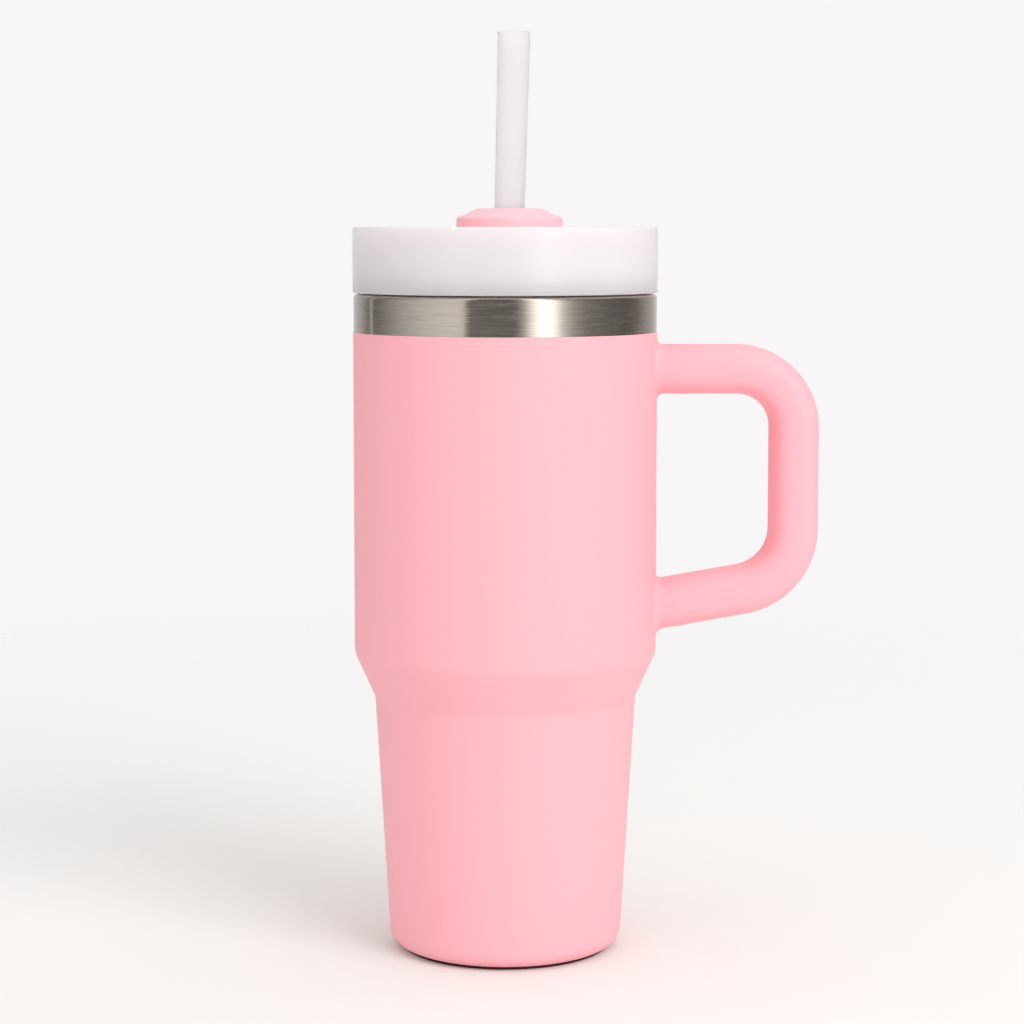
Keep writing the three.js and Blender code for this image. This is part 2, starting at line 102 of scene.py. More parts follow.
LID_BOTTOM = BRIM + 0.4 * MM
LID_SIDE_R = high("lid_body").x - 0.2 * MM
LID_BEAD = 0.1 * MM  # the fine bead along the lid's lower edge stands this proud
LID_TOP = high("lid_body").z
PLUG_BOTTOM = low("lid_body").z
PLUG_R = 43.9 * MM
WELL_TOP_R = 46.3 * MM
WELL_FLOOR_R = 45.9 * MM
LID_FLOOR = low("sip_seal").z - 0.3 * MM
LID_UNDERSIDE = LID_FLOOR - 2 * MM
GASKET_TOP = high("lid_gasket").z

DISC_R = (high("rotary_cover").y - low("rotary_cover").y) / 2
COVER_X = low("rotary_cover").x + DISC_R
DISC_BOTTOM = high("sip_seal").z + 0.3 * MM
DISC_TOP = DISC_BOTTOM + 1.8 * MM
HUB_BOTTOM = low("rotary_cover").z
HUB_R = 8.7 * MM
BOSS_R = 17.1 * MM
BOSS_TOP = high("rotary_cover").z
BOSS_SIDE_TOP = BOSS_TOP - 2.9 * MM
BOSS_BORE_R = 5.9 * MM
SIP_R = 36 * MM
SIP_WIDTH = 6.5 * MM
SIP_HALF_ANGLE = 13
COVER_TRAVEL = 90
STOP_ANGLE = 45
STOP_HALF_ANGLE = 4
VENT_ANGLE = 60
VENT_R = 1.5 * MM

STRAW_X = 1.45 * MM
STRAW_LEAN = math.radians(1.45)
STRAW_FOOT_R = 4.8 * MM
STRAW_MOUTH_R = 5.2 * MM
STRAW_WALL = 1 * MM
STRAW_ABOVE = 56.3 * MM
STRAW_BELOW = 226 * MM

GRIP_HALF_THICK = 8.05 * MM
HANDLE_X = high("handle_grip").x - GRIP_HALF_THICK
UPPER_ARM_Z = high("handle_grip").z - GRIP_HALF_THICK
LOWER_ARM_Z = 112.35 * MM
LOWER_ARM_SLOPE = math.radians(10)
UPPER_BEND_R = 18.8 * MM
LOWER_BEND_R = 20.3 * MM
FILLET = 2.3 * MM  # where the handle meets the cup
SCREW_X = (low("upper_screw_cap").x + high("upper_screw_cap").x) / 2
CAP_R = 3.9 * MM


# ---- Mesh helpers ----

def new_object(name, mesh):
    obj = bpy.data.objects.new(name, mesh)
    bpy.context.scene.collection.objects.link(obj)
    return obj


def from_faces(name, verts, faces):
    """An object from points and faces, turned to face outwards."""
    mesh = bpy.data.meshes.new(name)
    mesh.from_pydata(verts, [], faces)
    bm = bmesh.new()
    bm.from_mesh(mesh)
    bmesh.ops.remove_doubles(bm, verts=bm.verts, dist=1e-6)
    bmesh.ops.recalc_face_normals(bm, faces=bm.faces)
    bm.to_mesh(mesh)
    bm.free()
    return new_object(name, mesh)


def smooth(obj):
    obj.data.shade_smooth()
    obj.data.set_sharp_from_angle(angle=SHARP)
    return obj


def outline(corners):
    """The points of a closed outline from its corners (x, y, radius). A radius rounds the corner."""
    points = []
    for i, corner in enumerate(corners):
        here = Vector(corner[:2])
        radius = corner[2] if len(corner) > 2 else 0
        if not radius:
            points.append(here)
            continue
        back = (Vector(corners[i - 1][:2]) - here).normalized()
        ahead = (Vector(corners[(i + 1) % len(corners)][:2]) - here).normalized()
        half = back.angle(ahead) / 2
        centre = here + (back + ahead).normalized() * (radius / math.sin(half))
        start = here + back * (radius / math.tan(half)) - centre
        turn = math.pi - 2 * half
        if start.x * (here - centre).y - start.y * (here - centre).x < 0:
            turn = -turn
        steps = max(2, round(abs(turn) / ARC_STEP))
        for k in range(steps + 1):
            angle = turn * k / steps
            cos, sin = math.cos(angle), math.sin(angle)
            points.append(centre + Vector((start.x * cos - start.y * sin, start.x * sin + start.y * cos)))
    return points


def lathe(name, corners, segments=ROUND, centre_x=0.0):
    """A turned piece about an upright axis, from a closed outline of corners (radius, height, rounding)."""
    points = outline(corners)
    verts, faces = [], []
    for point in points:
        for k in range(segments):
            angle = 2 * math.pi * k / segments
            radius = max(point.x, 0)
            verts.append((centre_x + radius * math.cos(angle), radius * math.sin(angle), point.y))
    count = len(points)
    for i in range(count):
        j = (i + 1) % count
        if points[i].x < 1e-9 and points[j].x < 1e-9:
            continue
        for k in range(segments):
            m = (k + 1) % segments
            faces.append((i * segments + k, i * segments + m, j * segments + m, j * segments + k))
    return smooth(from_faces(name, verts, faces))


def loft(name, rings, closed=False):
    """A skin over rings that have the same number of points. Open lofts get flat ends."""
    size = len(rings[0])
    verts = [p for ring in rings for p in ring]
    faces = []
    last = len(rings) if closed else len(rings) - 1
    for i in range(last):
        j = (i + 1) % len(rings)
        for k in range(size):
            m = (k + 1) % size
            faces.append((i * size + k, i * size + m, j * size + m, j * size + k))
    if not closed:
        faces.append(tuple(range(size)))
        faces.append(tuple(range((len(rings) - 1) * size, len(rings) * size)))
    return from_faces(name, verts, faces)


def apply_modifiers(obj):
    graph = bpy.context.evaluated_depsgraph_get()
    mesh = bpy.data.meshes.new_from_object(obj.evaluated_get(graph))
    obj.modifiers.clear()
    old = obj.data
    obj.data = mesh
    bpy.data.meshes.remove(old)
    return obj


def clean(obj):
    """Merges the slivers that a boolean leaves along its cut."""
    bm = bmesh.new()
    bm.from_mesh(obj.data)
    bmesh.ops.remove_doubles(bm, verts=bm.verts, dist=SLIVER)
    bmesh.ops.dissolve_degenerate(bm, dist=SLIVER, edges=bm.edges)
    bm.to_mesh(obj.data)
    bm.free()


def combine(obj, others, operation):
    """Joins the other objects to obj, or cuts them out of it, and removes them."""
    for other in others:
        change = obj.modifiers.new("change", "BOOLEAN")
        change.operation = operation
        change.solver = "EXACT"
        change.object = other
        apply_modifiers(obj)
        clean(obj)
        bpy.data.objects.remove(other)
    return smooth(obj)


def cut(obj, *tools):
    return combine(obj, tools, "DIFFERENCE")


def join(obj, *parts):
    return combine(obj, parts, "UNION")


def arc_slot(width, centre, half_angle, z):
    """The points, at one height, of a curved slot with round ends about the cover's axis."""
    steps = 24
    middle = SIP_R
    points = []
    start = math.radians(centre - half_angle)
    end = math.radians(centre + half_angle)

    def add(cx, cy, radius, a, b, count):
        for k in range(count + 1):
            angle = a + (b - a) * k / count
            points.append((COVER_X + cx + radius * math.cos(angle), cy + radius * math.sin(angle), z))

    add(0, 0, middle + width / 2, start, end, steps)
    add(middle * math.cos(end), middle * math.sin(end), width / 2, end, end + math.pi, steps // 2)
    add(0, 0, middle - width / 2, end, start, steps)
    add(middle * math.cos(start), middle * math.sin(start), width / 2, start - math.pi, start, steps // 2)
    return [p for i, p in enumerate(points) if (Vector(p) - Vector(points[i - 1])).length > 1e-7]


def slot_cutter(angle, width, half_angle, bottom, top):
    """A cutter for a curved slot through a plate, which leaves chamfered edges on both faces."""
    chamfer = 0.35 * MM
    over = 0.5 * MM
    rings = []
    for z, grow in (
        (bottom - over, chamfer + over),
        (bottom + chamfer, 0),
        (top - chamfer, 0),
        (top + over, chamfer + over),
    ):
        rings.append(arc_slot(width + 2 * grow, angle, half_angle, z))
    return loft("cutter", rings)


def sector_cutter(inner, outer, start, end, bottom, top, steps=48):
    """A cutter shaped as a piece of a ring about the cover's axis, between two angles in degrees."""
    base = []
    for radius, a, b in ((outer, start, end), (inner, end, start)):
        for k in range(steps + 1):
            angle = math.radians(a + (b - a) * k / steps)
            base.append((COVER_X + radius * math.cos(angle), radius * math.sin(angle), bottom))
    return loft("cutter", [base, [(x, y, top) for x, y, _ in base]])


def round_cutter(x, y, radius, bottom, top, chamfer=0.25 * MM):
    """A cutter for a round hole through a plate, chamfered on both faces."""
    over = 0.5 * MM
    corners = [
        (0, bottom - over),
        (radius + chamfer + over, bottom - over),
        (radius, bottom + chamfer),
        (radius, top - chamfer),
        (radius + chamfer + over, top + over),
        (0, top + over),
    ]
    tool = lathe("cutter", corners, SMALL_ROUND // 2)
    tool.data.transform(Matrix.Translation((x, y, 0)))
    return tool


def vent_cutter(angle, bottom, top):
    """A cutter for the vent hole, at an angle in degrees about the cover's axis."""
    turn = math.radians(angle)
    return round_cutter(COVER_X + SIP_R * math.cos(turn), SIP_R * math.sin(turn), VENT_R, bottom, top)


def thread_lug(radius, inwards, bottom, start_angle):
    """One helical thread ridge, faded out at both ends."""
    half_root, half_crest = 0.95 * MM, 0.4 * MM
    sunk = 0.25 * MM  # the ridge's root lies this far inside the wall
    steps = 60
    fade = 0.12  # share of the ridge's length over which it rises or sinks
    rings = []
    for i in range(steps + 1):
        t = i / steps
        angle = start_angle + THREAD_SWEEP * t
        height = bottom + THREAD_LEAD * THREAD_SWEEP * t / (2 * math.pi)
        grow = min(1, t / fade, (1 - t) / fade)
        depth = THREAD_DEPTH * math.sin(grow * math.pi / 2) + 0.02 * MM
        profile = ((-sunk, -half_root), (depth, -half_crest), (depth, half_crest), (-sunk, half_root))
        ring = []
        for out, z in profile:
            r = radius - out * inwards
            ring.append((r * math.cos(angle), r * math.sin(angle), height + z))
        rings.append(ring)
    return loft("lug", rings)


def thread_lugs(radius, inwards, bottom):
    turn = 2 * math.pi / THREAD_STARTS
    return [thread_lug(radius, inwards, bottom, turn * start) for start in range(THREAD_STARTS)]


# ---- Materials ----

def add_node(tree, kind, **values):
    node = tree.nodes.new(kind)
    for key, value in values.items():
        setattr(node, key, value)
    return node


class Nodes:
    """A short way to write a material's nodes."""

    def __init__(self, name):
        self.material = bpy.data.materials.new(name)
        self.material.use_nodes = True
        self.tree = self.material.node_tree
        self.shader = self.tree.nodes["Principled BSDF"]

    def add(self, kind, **values):
        return add_node(self.tree, kind, **values)

    def link(self, output, target):
        self.tree.links.new(output, target)

    def set(self, **values):
        for key, value in values.items():
            self.shader.inputs[key.replace("_", " ")].default_value = value

    def noise(self, vector, scale, detail=3.0, roughness=0.5):
        node = self.add("ShaderNodeTexNoise")
        node.inputs["Scale"].default_value = scale
        node.inputs["Detail"].default_value = detail
        node.inputs["Roughness"].default_value = roughness
        self.link(vector, node.inputs["Vector"])
        return node.outputs["Fac"]

    def spread(self, value, low_value, high_value, low_in=0.3, high_in=0.7):
        node = self.add("ShaderNodeMapRange")
        self.link(value, node.inputs["Value"])
        node.inputs["From Min"].default_value = low_in
        node.inputs["From Max"].default_value = high_in
        node.inputs["To Min"].default_value = low_value
        node.inputs["To Max"].default_value = high_value
        return node.outputs["Result"]

    def mix(self, factor, first, second):
        node = self.add("ShaderNodeMix", data_type="RGBA")
        self.link(factor, node.inputs["Factor"])
        node.inputs["A"].default_value = (*first, 1)
        node.inputs["B"].default_value = (*second, 1)
        self.link(node.outputs["Result"], self.shader.inputs["Base Color"])

    def bump(self, height, distance, strength, previous=None):
        node = self.add("ShaderNodeBump")
        node.inputs["Distance"].default_value = distance
        node.inputs["Strength"].default_value = strength
        self.link(height, node.inputs["Height"])
        if previous:
            self.link(previous, node.inputs["Normal"])
        self.link(node.outputs["Normal"], self.shader.inputs["Normal"])
        return node.outputs["Normal"]

    def place(self):
        return self.add("ShaderNodeTexCoord").outputs["Object"]

    def around(self):
        """Coordinates that run round the Z axis: the angle in radians and the height."""
        split = self.add("ShaderNodeSeparateXYZ")
        self.link(self.place(), split.inputs["Vector"])
        angle = self.add("ShaderNodeMath", operation="ARCTAN2")
        self.link(split.outputs["Y"], angle.inputs[0])
        self.link(split.outputs["X"], angle.inputs[1])
        return angle.outputs["Value"], split.outputs["Z"]


def linear(red, green, blue):
    """A colour given as sRGB 0 to 255, as linear light."""
    return tuple(
        c / 255 / 12.92 if c / 255 <= 0.04045 else ((c / 255 + 0.055) / 1.055) ** 2.4
        for c in (red, green, blue)
    )


def coat_material():
    """Baked powder coat: matt pink with a very fine pebble grain and faint cloudiness."""
    n = Nodes("pink_powder_coat")
    place = n.place()
    n.mix(n.noise(place, 900), linear(249, 174, 183), linear(251, 178, 187))
    n.link(n.spread(n.noise(place, 60), 0.5, 0.58), n.shader.inputs["Roughness"])
    n.set(IOR=1.48)
    grain = n.bump(n.noise(place, 2600, detail=1), 0.012 * MM, 0.6)
    n.bump(n.noise(place, 420, detail=2), 0.03 * MM, 0.5, grain)
    return n.material


def pink_plastic_material(name, grain_scale, dark, light):
    """Satin pink moulding with a fine spark-eroded texture."""
    n = Nodes(name)
    place = n.place()
    n.mix(n.noise(place, 500), dark, light)
    n.link(n.spread(n.noise(place, 90), 0.44, 0.52), n.shader.inputs["Roughness"])
    n.set(IOR=1.5)
    n.bump(n.noise(place, grain_scale, detail=2), 0.015 * MM, 0.6)
    return n.material


def steel_material(name, tint, roughness):
    """Stainless steel brushed round its axis: fine streaks, with a spread gleam."""
    streaks_per_radian, streaks_per_metre = 3.4, 1900
    n = Nodes(name)
    angle, height = n.around()
    stretch = n.add("ShaderNodeCombineXYZ")
    n.link(angle, stretch.inputs["X"])
    n.link(height, stretch.inputs["Z"])
    scaled = n.add("ShaderNodeVectorMath", operation="MULTIPLY")
    scaled.inputs[1].default_value = (streaks_per_radian, 1, streaks_per_metre)
    n.link(stretch.outputs["Vector"], scaled.inputs[0])
    lines = n.noise(scaled.outputs["Vector"], 1.0, detail=6, roughness=0.7)
    streaks = n.spread(lines, 0, 1, 0.38, 0.62)
    n.mix(streaks, tuple(c * 0.89 for c in tint), tuple(min(1, c * 1.06) for c in tint))
    n.link(n.spread(lines, roughness - 0.09, roughness + 0.11, 0.35, 0.65), n.shader.inputs["Roughness"])
    n.set(Metallic=1.0, Anisotropic=0.85, Anisotropic_Rotation=0.25)
    tangent = n.add("ShaderNodeTangent", direction_type="RADIAL", axis="Z")
    n.link(tangent.outputs["Tangent"], n.shader.inputs["Tangent"])
    n.bump(lines, 0.008 * MM, 0.5)
    return n.material


def frosted_material(name, color, roughness, transmission, subsurface, ior, grain=0.5):
    """Translucent moulded plastic. Subsurface makes it milky, and transmission makes it clearer."""
    n = Nodes(name)
    place = n.place()
    n.mix(n.noise(place, 35, detail=2), color, tuple(min(1, c * 1.03) for c in color))
    n.link(n.spread(n.noise(place, 300), roughness - 0.04, roughness + 0.04), n.shader.inputs["Roughness"])
    n.set(IOR=ior, Transmission_Weight=transmission)
    if subsurface:
        n.set(Subsurface_Weight=subsurface, Subsurface_Scale=10 * MM)
        n.shader.inputs["Subsurface Radius"].default_value = (1.0, 1.0, 1.0)
    n.bump(n.noise(place, 1400, detail=2), 0.01 * MM, grain)
    return n.material


def rubber_material(name, dark, light, roughness):
    """A slightly uneven skin without metal: silicone, rubber, nylon or solder glass."""
    n = Nodes(name)
    place = n.place()
    n.mix(n.noise(place, 260), dark, light)
    n.link(n.spread(n.noise(place, 140), roughness - 0.07, roughness + 0.07), n.shader.inputs["Roughness"])
    n.set(IOR=1.35)
    n.bump(n.noise(place, 1100, detail=2), 0.02 * MM, 0.6)
    return n.material


def metal_material(name, dark, light, roughness):
    """Plated or pressed metal that isn't brushed."""
    n = Nodes(name)
    place = n.place()
    n.mix(n.noise(place, 300), dark, light)
    n.link(n.spread(n.noise(place, 500), roughness - 0.08, roughness + 0.08), n.shader.inputs["Roughness"])
    n.set(Metallic=1.0)
    n.bump(n.noise(place, 900), 0.01 * MM, 0.5)
    return n.material


COAT = coat_material()
GRIP = pink_plastic_material("handle_pink", 1500, linear(249, 174, 184), linear(251, 178, 188))
COVER = pink_plastic_material("cover_pink", 1800, linear(250, 190, 199), linear(252, 194, 203))
BAND_STEEL = steel_material("neck_steel", (0.60, 0.535, 0.475), 0.18)
CUP_STEEL = steel_material("liner_steel", (0.62, 0.60, 0.58), 0.33)
FROSTED = frosted_material("frosted_lid", (0.91, 0.846, 0.884), 0.13, 0.23, 0.8, 1.4)
STRAW = frosted_material("straw_frosted", (0.99, 0.972, 0.968), 0.35, 0.88, 0.0, 1.26, 0.2)
SILICONE = rubber_material("silicone", (0.72, 0.69, 0.69), (0.78, 0.75, 0.75), 0.5)
# The foot pad's dark maroon is partly the rubber's own colour and partly painted shade: it stands in for
# the shadow gap under the coat's lower edge, with pink light bounced into it.
PAD = rubber_material("base_rubber", (0.035, 0.008, 0.011), (0.055, 0.016, 0.02), 0.8)
ZINC = metal_material("zinc_steel", (0.55, 0.56, 0.58), (0.68, 0.69, 0.71), 0.35)
GETTER = metal_material("getter_metal", (0.18, 0.17, 0.17), (0.28, 0.27, 0.27), 0.6)
NYLON = rubber_material("core_nylon", (0.58, 0.55, 0.52), (0.66, 0.63, 0.60), 0.55)
SOLDER = rubber_material("solder_glass", (0.22, 0.22, 0.2), (0.34, 0.33, 0.3), 0.25)


def fit(obj, node, body, material):
    """Puts a piece in place of a CAD node, on its body and material."""
    obj.data.materials.clear()
    obj.data.materials.append(material)
    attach(obj, body)
    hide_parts(node)
    return obj


def repaint(node, material):
    """A CAD node that keeps its shape gets a finer material and softened edges."""
    obj = frame["nodes"][node]
    obj.data.materials.clear()
    obj.data.materials.append(material)
    edge = obj.modifiers.new("soft_edges", "BEVEL")
    edge.width = 0.25 * MM
    edge.segments = 2
    edge.limit_method = "ANGLE"


# ---- Cup ----

def shell():
    step = 0.1 * MM  # the inner corners lie this much higher, so that the sheet stays even
    return lathe("cup_shell", [
        (FOOT_RING_R, SHELL_BOTTOM, 0.2 * MM),
        (BASE_R, SHELL_BOTTOM, 5.4 * MM),
        (TAPER_TOP_R, TAPER_TOP, 3 * MM),
        (BODY_R, SHOULDER, 9 * MM),
        (BODY_R, COAT_TOP, 0.12 * MM),
        (BODY_R - SHEET, COAT_TOP),
        (BODY_R - SHEET, SHOULDER + step, 9 * MM),
        (TAPER_TOP_R - SHEET, TAPER_TOP + step, 3 * MM),
        (BASE_R - SHEET, SHELL_BOTTOM + SHEET, 4.8 * MM),
        (FOOT_RING_R, SHELL_BOTTOM + SHEET),
    ])


def neck():
    radius = BODY_R - STEP_IN
    bottom = COAT_TOP + 0.02 * MM
    roof = BRIM - 0.8 * MM
    channel = lathe("steel_neck", [
        (radius, bottom),
        (radius, BRIM, 1.3 * MM),
        (BORE_R, BRIM, 1.3 * MM),
        (BORE_R, LINER_TOP + LINER_TOP_GAP),
        (BORE_R + SHEET, LINER_TOP + LINER_TOP_GAP),
        (BORE_R + SHEET, roof, 0.6 * MM),
        (radius - SHEET, roof, 0.6 * MM),
        (radius - SHEET, bottom),
    ])
    return join(channel, *thread_lugs(BORE_R, 1, NECK_THREAD_Z))


def liner():
    inset = BODY_R - BORE_R
    outside = inset - SHEET
    return lathe("steel_liner", [
        (0, LINER_FLOOR - SHEET),
        (LINER_FLOOR_R + SHEET, LINER_FLOOR - SHEET, 6.6 * MM),
        (TAPER_TOP_R - outside, TAPER_TOP + 1.2 * MM, 4 * MM),
        (BODY_R - outside, SHOULDER + 1.2 * MM, 9 * MM),
        (BORE_R + SHEET, LINER_TOP),
        (BORE_R, LINER_TOP),
        (BORE_R, SHOULDER + 1.3 * MM, 9 * MM),
        (TAPER_TOP_R - inset, TAPER_TOP + 1.3 * MM, 4 * MM),
        (LINER_FLOOR_R, LINER_FLOOR, 6 * MM),
        (0, LINER_FLOOR),
    ])


def base_plate():
    rim = high("outer_base").x
    top = high("outer_base").z
    port = 1.5 * MM
    return lathe("base_plate", [
        (port, top - SHEET),
        (rim - SHEET, top - SHEET, 0.8 * MM),
        (rim - SHEET, SHELL_BOTTOM),
        (rim, SHELL_BOTTOM),
        (rim, top, 1.2 * MM),
        (port, top),
    ])


def pad():
    ledge = SHELL_BOTTOM - 0.05 * MM
    centre_r = FOOT_RING_R - 1.3 * MM
    top = high("base_pad").z
    groove, depth = 0.8 * MM, 0.35 * MM
    corners = [(0, 0)]
    for radius in (24 * MM, 27 * MM, 30 * MM):
        corners += [
            (radius - groove, 0, 0.1 * MM),
            (radius - groove / 2, depth, 0.15 * MM),
            (radius + groove / 2, depth, 0.15 * MM),
            (radius + groove, 0, 0.1 * MM),
        ]
    corners += [
        (PAD_R, 0, 0.3 * MM),
        (PAD_R, ledge, 0.1 * MM),
        (centre_r, ledge),
        (centre_r, top),
        (0, top),
    ]
    return lathe("foot_pad", corners)


def solder_bead():
    bead_low, bead_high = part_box("vacuum_plug")
    return lathe("solder_bead", [
        (0, bead_low.z),
        (2.3 * MM, bead_low.z, 0.5 * MM),
        (2.9 * MM, bead_high.z, 0.4 * MM),
        (0, bead_high.z),
    ], SMALL_ROUND)


def getter_pellet():
    pellet_low, pellet_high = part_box("getter")
    radius = 6 * MM
    dish_r, dish = 4.8 * MM, pellet_high.z - 0.7 * MM
    return lathe("getter_pellet", [
        (0, pellet_low.z),
        (radius, pellet_low.z, 0.5 * MM),
        (radius, pellet_high.z, 0.3 * MM),
        (dish_r + 0.4 * MM, pellet_high.z, 0.2 * MM),
        (dish_r, dish, 0.2 * MM),
        (0, dish),
    ], SMALL_ROUND)


def build_cup():
    fit(shell(), "outer_shell", "cup", COAT)
    fit(neck(), "steel_rim", "cup", BAND_STEEL)
    fit(liner(), "inner_liner", "cup", CUP_STEEL)
    fit(base_plate(), "outer_base", "cup", CUP_STEEL)
    fit(pad(), "base_pad", "cup", PAD)
    fit(solder_bead(), "vacuum_plug", "cup", SOLDER)
    fit(getter_pellet(), "getter", "cup", GETTER)


# ---- Handle ----

def handle_stations():
    """Points and directions (x, z) along the handle's middle line, from the upper arm to the lower one.
    They lie close together in the fillets next to the cup."""
    spacing = 1.5 * MM
    upper = Vector((HANDLE_X - UPPER_BEND_R, UPPER_ARM_Z - UPPER_BEND_R))
    lower_x = HANDLE_X - LOWER_BEND_R
    arm_z = LOWER_ARM_Z + (lower_x - BODY_R) * math.tan(LOWER_ARM_SLOPE)
    lower = Vector((lower_x, arm_z + LOWER_BEND_R / math.cos(LOWER_ARM_SLOPE)))
    end_turn = math.pi / 2 - LOWER_ARM_SLOPE
    low_end = lower + LOWER_BEND_R * Vector((math.cos(-end_turn), math.sin(-end_turn)))
    stations = []

    def straight(a, b, fillet_at_start=False, fillet_at_end=False):
        length = (b - a).length
        count = max(2, round(length / spacing))
        places = {length * k / count for k in range(count + 1)}
        curve = [FILLET * (1 - math.cos(math.radians(10 * k))) for k in range(9)]
        if fillet_at_start:
            places = {d for d in places if d > FILLET} | {0, *curve}
        if fillet_at_end:
            places = {d for d in places if d < length - FILLET} | {length - d for d in curve}
        stations.extend((a.lerp(b, d / length), (b - a).normalized()) for d in sorted(places))

    def bend(centre, radius, start, end):
        count = max(4, round(abs(end - start) * radius / spacing))
        for k in range(1, count):
            angle = start + (end - start) * k / count
            out = Vector((math.cos(angle), math.sin(angle)))
            stations.append((centre + radius * out, Vector((out.y, -out.x))))

    straight(Vector((BODY_R, UPPER_ARM_Z)), Vector((upper.x, UPPER_ARM_Z)), fillet_at_start=True)
    bend(upper, UPPER_BEND_R, math.pi / 2, 0)
    straight(Vector((HANDLE_X, upper.y)), Vector((HANDLE_X, lower.y)))
    bend(lower, LOWER_BEND_R, 0, -end_turn)
    straight(low_end, Vector((BODY_R, LOWER_ARM_Z)), fillet_at_end=True)
    return stations


def superellipse(half_thick, half_deep, power):
    """The points of a cross-section between an ellipse (power 2) and a box (a high power)."""
    count = 72
    points = []
    for k in range(count):
        angle = 2 * math.pi * k / count
        cos, sin = math.cos(angle), math.sin(angle)
        u = math.copysign(abs(cos) ** (2 / power), cos) * half_thick
        v = math.copysign(abs(sin) ** (2 / power), sin) * half_deep
        points.append((u, v))
    return points


def handle_skin(half_thick, half_deep, power, fillet):
    """Rings of the handle's skin. Its ends flare and follow the round side of the cup."""
    settle = 12 * MM  # over this length the rings turn from the cup's roundness to flat
    face_r = BODY_R - 0.05 * MM  # the ends sink into the coat, so that no gap shows
    rings = []
    for centre, ahead in handle_stations():
        side = Vector((-ahead.y, ahead.x))
        outwards = ahead if ahead.x > 0 else -ahead
        clear = centre.x - BODY_R
        in_arm = abs(ahead.x) > 0.5
        flare = 0.0
        near = 0.0
        if clear < settle and in_arm:
            near = 1 - clear / settle
            near = near * near * (3 - 2 * near)
        if clear < fillet and in_arm:
            flare = fillet - math.sqrt(max(0, fillet ** 2 - (fillet - clear) ** 2))
        ring = []
        for u, v in superellipse(half_thick + flare, half_deep + flare, power):
            point = centre + side * u
            on_cup = math.sqrt(face_r ** 2 - v ** 2) + clear
            slide = (on_cup - point.x) / outwards.x if near else 0
            point = point + outwards * slide * near
            ring.append((point.x, v, point.y))
        rings.append(ring)
    return rings


def grip():
    outer = handle_skin(half_thick=7.95 * MM, half_deep=10.7 * MM, power=2.7, fillet=FILLET)
    inner = handle_skin(half_thick=5.2 * MM, half_deep=7.7 * MM, power=4, fillet=0)
    piece = loft("handle_grip_skin", outer + inner[::-1], closed=True)
    for frame_matrix in arm_frames():
        tool = round_cutter(SCREW_X, 0, CAP_R + 0.1 * MM, -12 * MM, 0, chamfer=0)
        tool.data.transform(frame_matrix)
        cut(piece, tool)
    return piece


def arm_frames():
    """Where each arm's own frame stands: X runs out along the arm, and Z is across it."""
    drop = BODY_R * math.tan(LOWER_ARM_SLOPE)
    turned = Matrix.Translation((0, 0, LOWER_ARM_Z - drop)) @ Matrix.Rotation(-LOWER_ARM_SLOPE, 4, "Y")
    return [Matrix.Translation((0, 0, UPPER_ARM_Z)), turned]


def screw_cap(side, frame_matrix):
    face, root = -7.9 * MM, -6.9 * MM
    cap = lathe(f"{side}_cap", [
        (0, face + 0.15 * MM),
        (1.2 * MM, face + 0.15 * MM, 0.1 * MM),
        (1.5 * MM, face - 0.05 * MM, 0.1 * MM),
        (CAP_R, face, 0.15 * MM),
        (CAP_R, root),
        (0, root),
    ], SMALL_ROUND)
    cap.data.transform(frame_matrix @ Matrix.Translation((SCREW_X, 0, 0)))
    return cap


def screw(side, frame_matrix):
    seat, tip = -5.1 * MM, 1.5 * MM
    head_r, head = 3.2 * MM, 1.6 * MM
    recess_r, recess = 1.2 * MM, 1 * MM
    shank_r = 1.8 * MM
    corners = [
        (0, seat - head + recess),
        (recess_r, seat - head + recess),
        (recess_r, seat - head, 0.1 * MM),
        (head_r, seat - head, 0.4 * MM),
        (head_r, seat),
    ]
    pitch, height = 0.7 * MM, seat
    while height < 1 * MM:
        corners += [(shank_r - 0.3 * MM, height), (shank_r, height + pitch / 2)]
        height += pitch
    corners += [(shank_r - 0.5 * MM, tip), (0, tip)]
    piece = lathe(f"{side}_screw", corners, SMALL_ROUND // 2)
    piece.data.transform(frame_matrix @ Matrix.Translation((SCREW_X, 0, 0)))
    return piece


def build_handle():
    fit(grip(), "handle_grip", "cup", GRIP)
    for side, frame_matrix in zip(("upper", "lower"), arm_frames()):
        fit(screw_cap(side, frame_matrix), f"{side}_screw_cap", "cup", GRIP)
        fit(screw(side, frame_matrix), f"{side}_handle_screw", "cup", ZINC)
        repaint(f"{side}_bracket", CUP_STEEL)
    repaint("handle_core", NYLON)


# ---- Lid ----

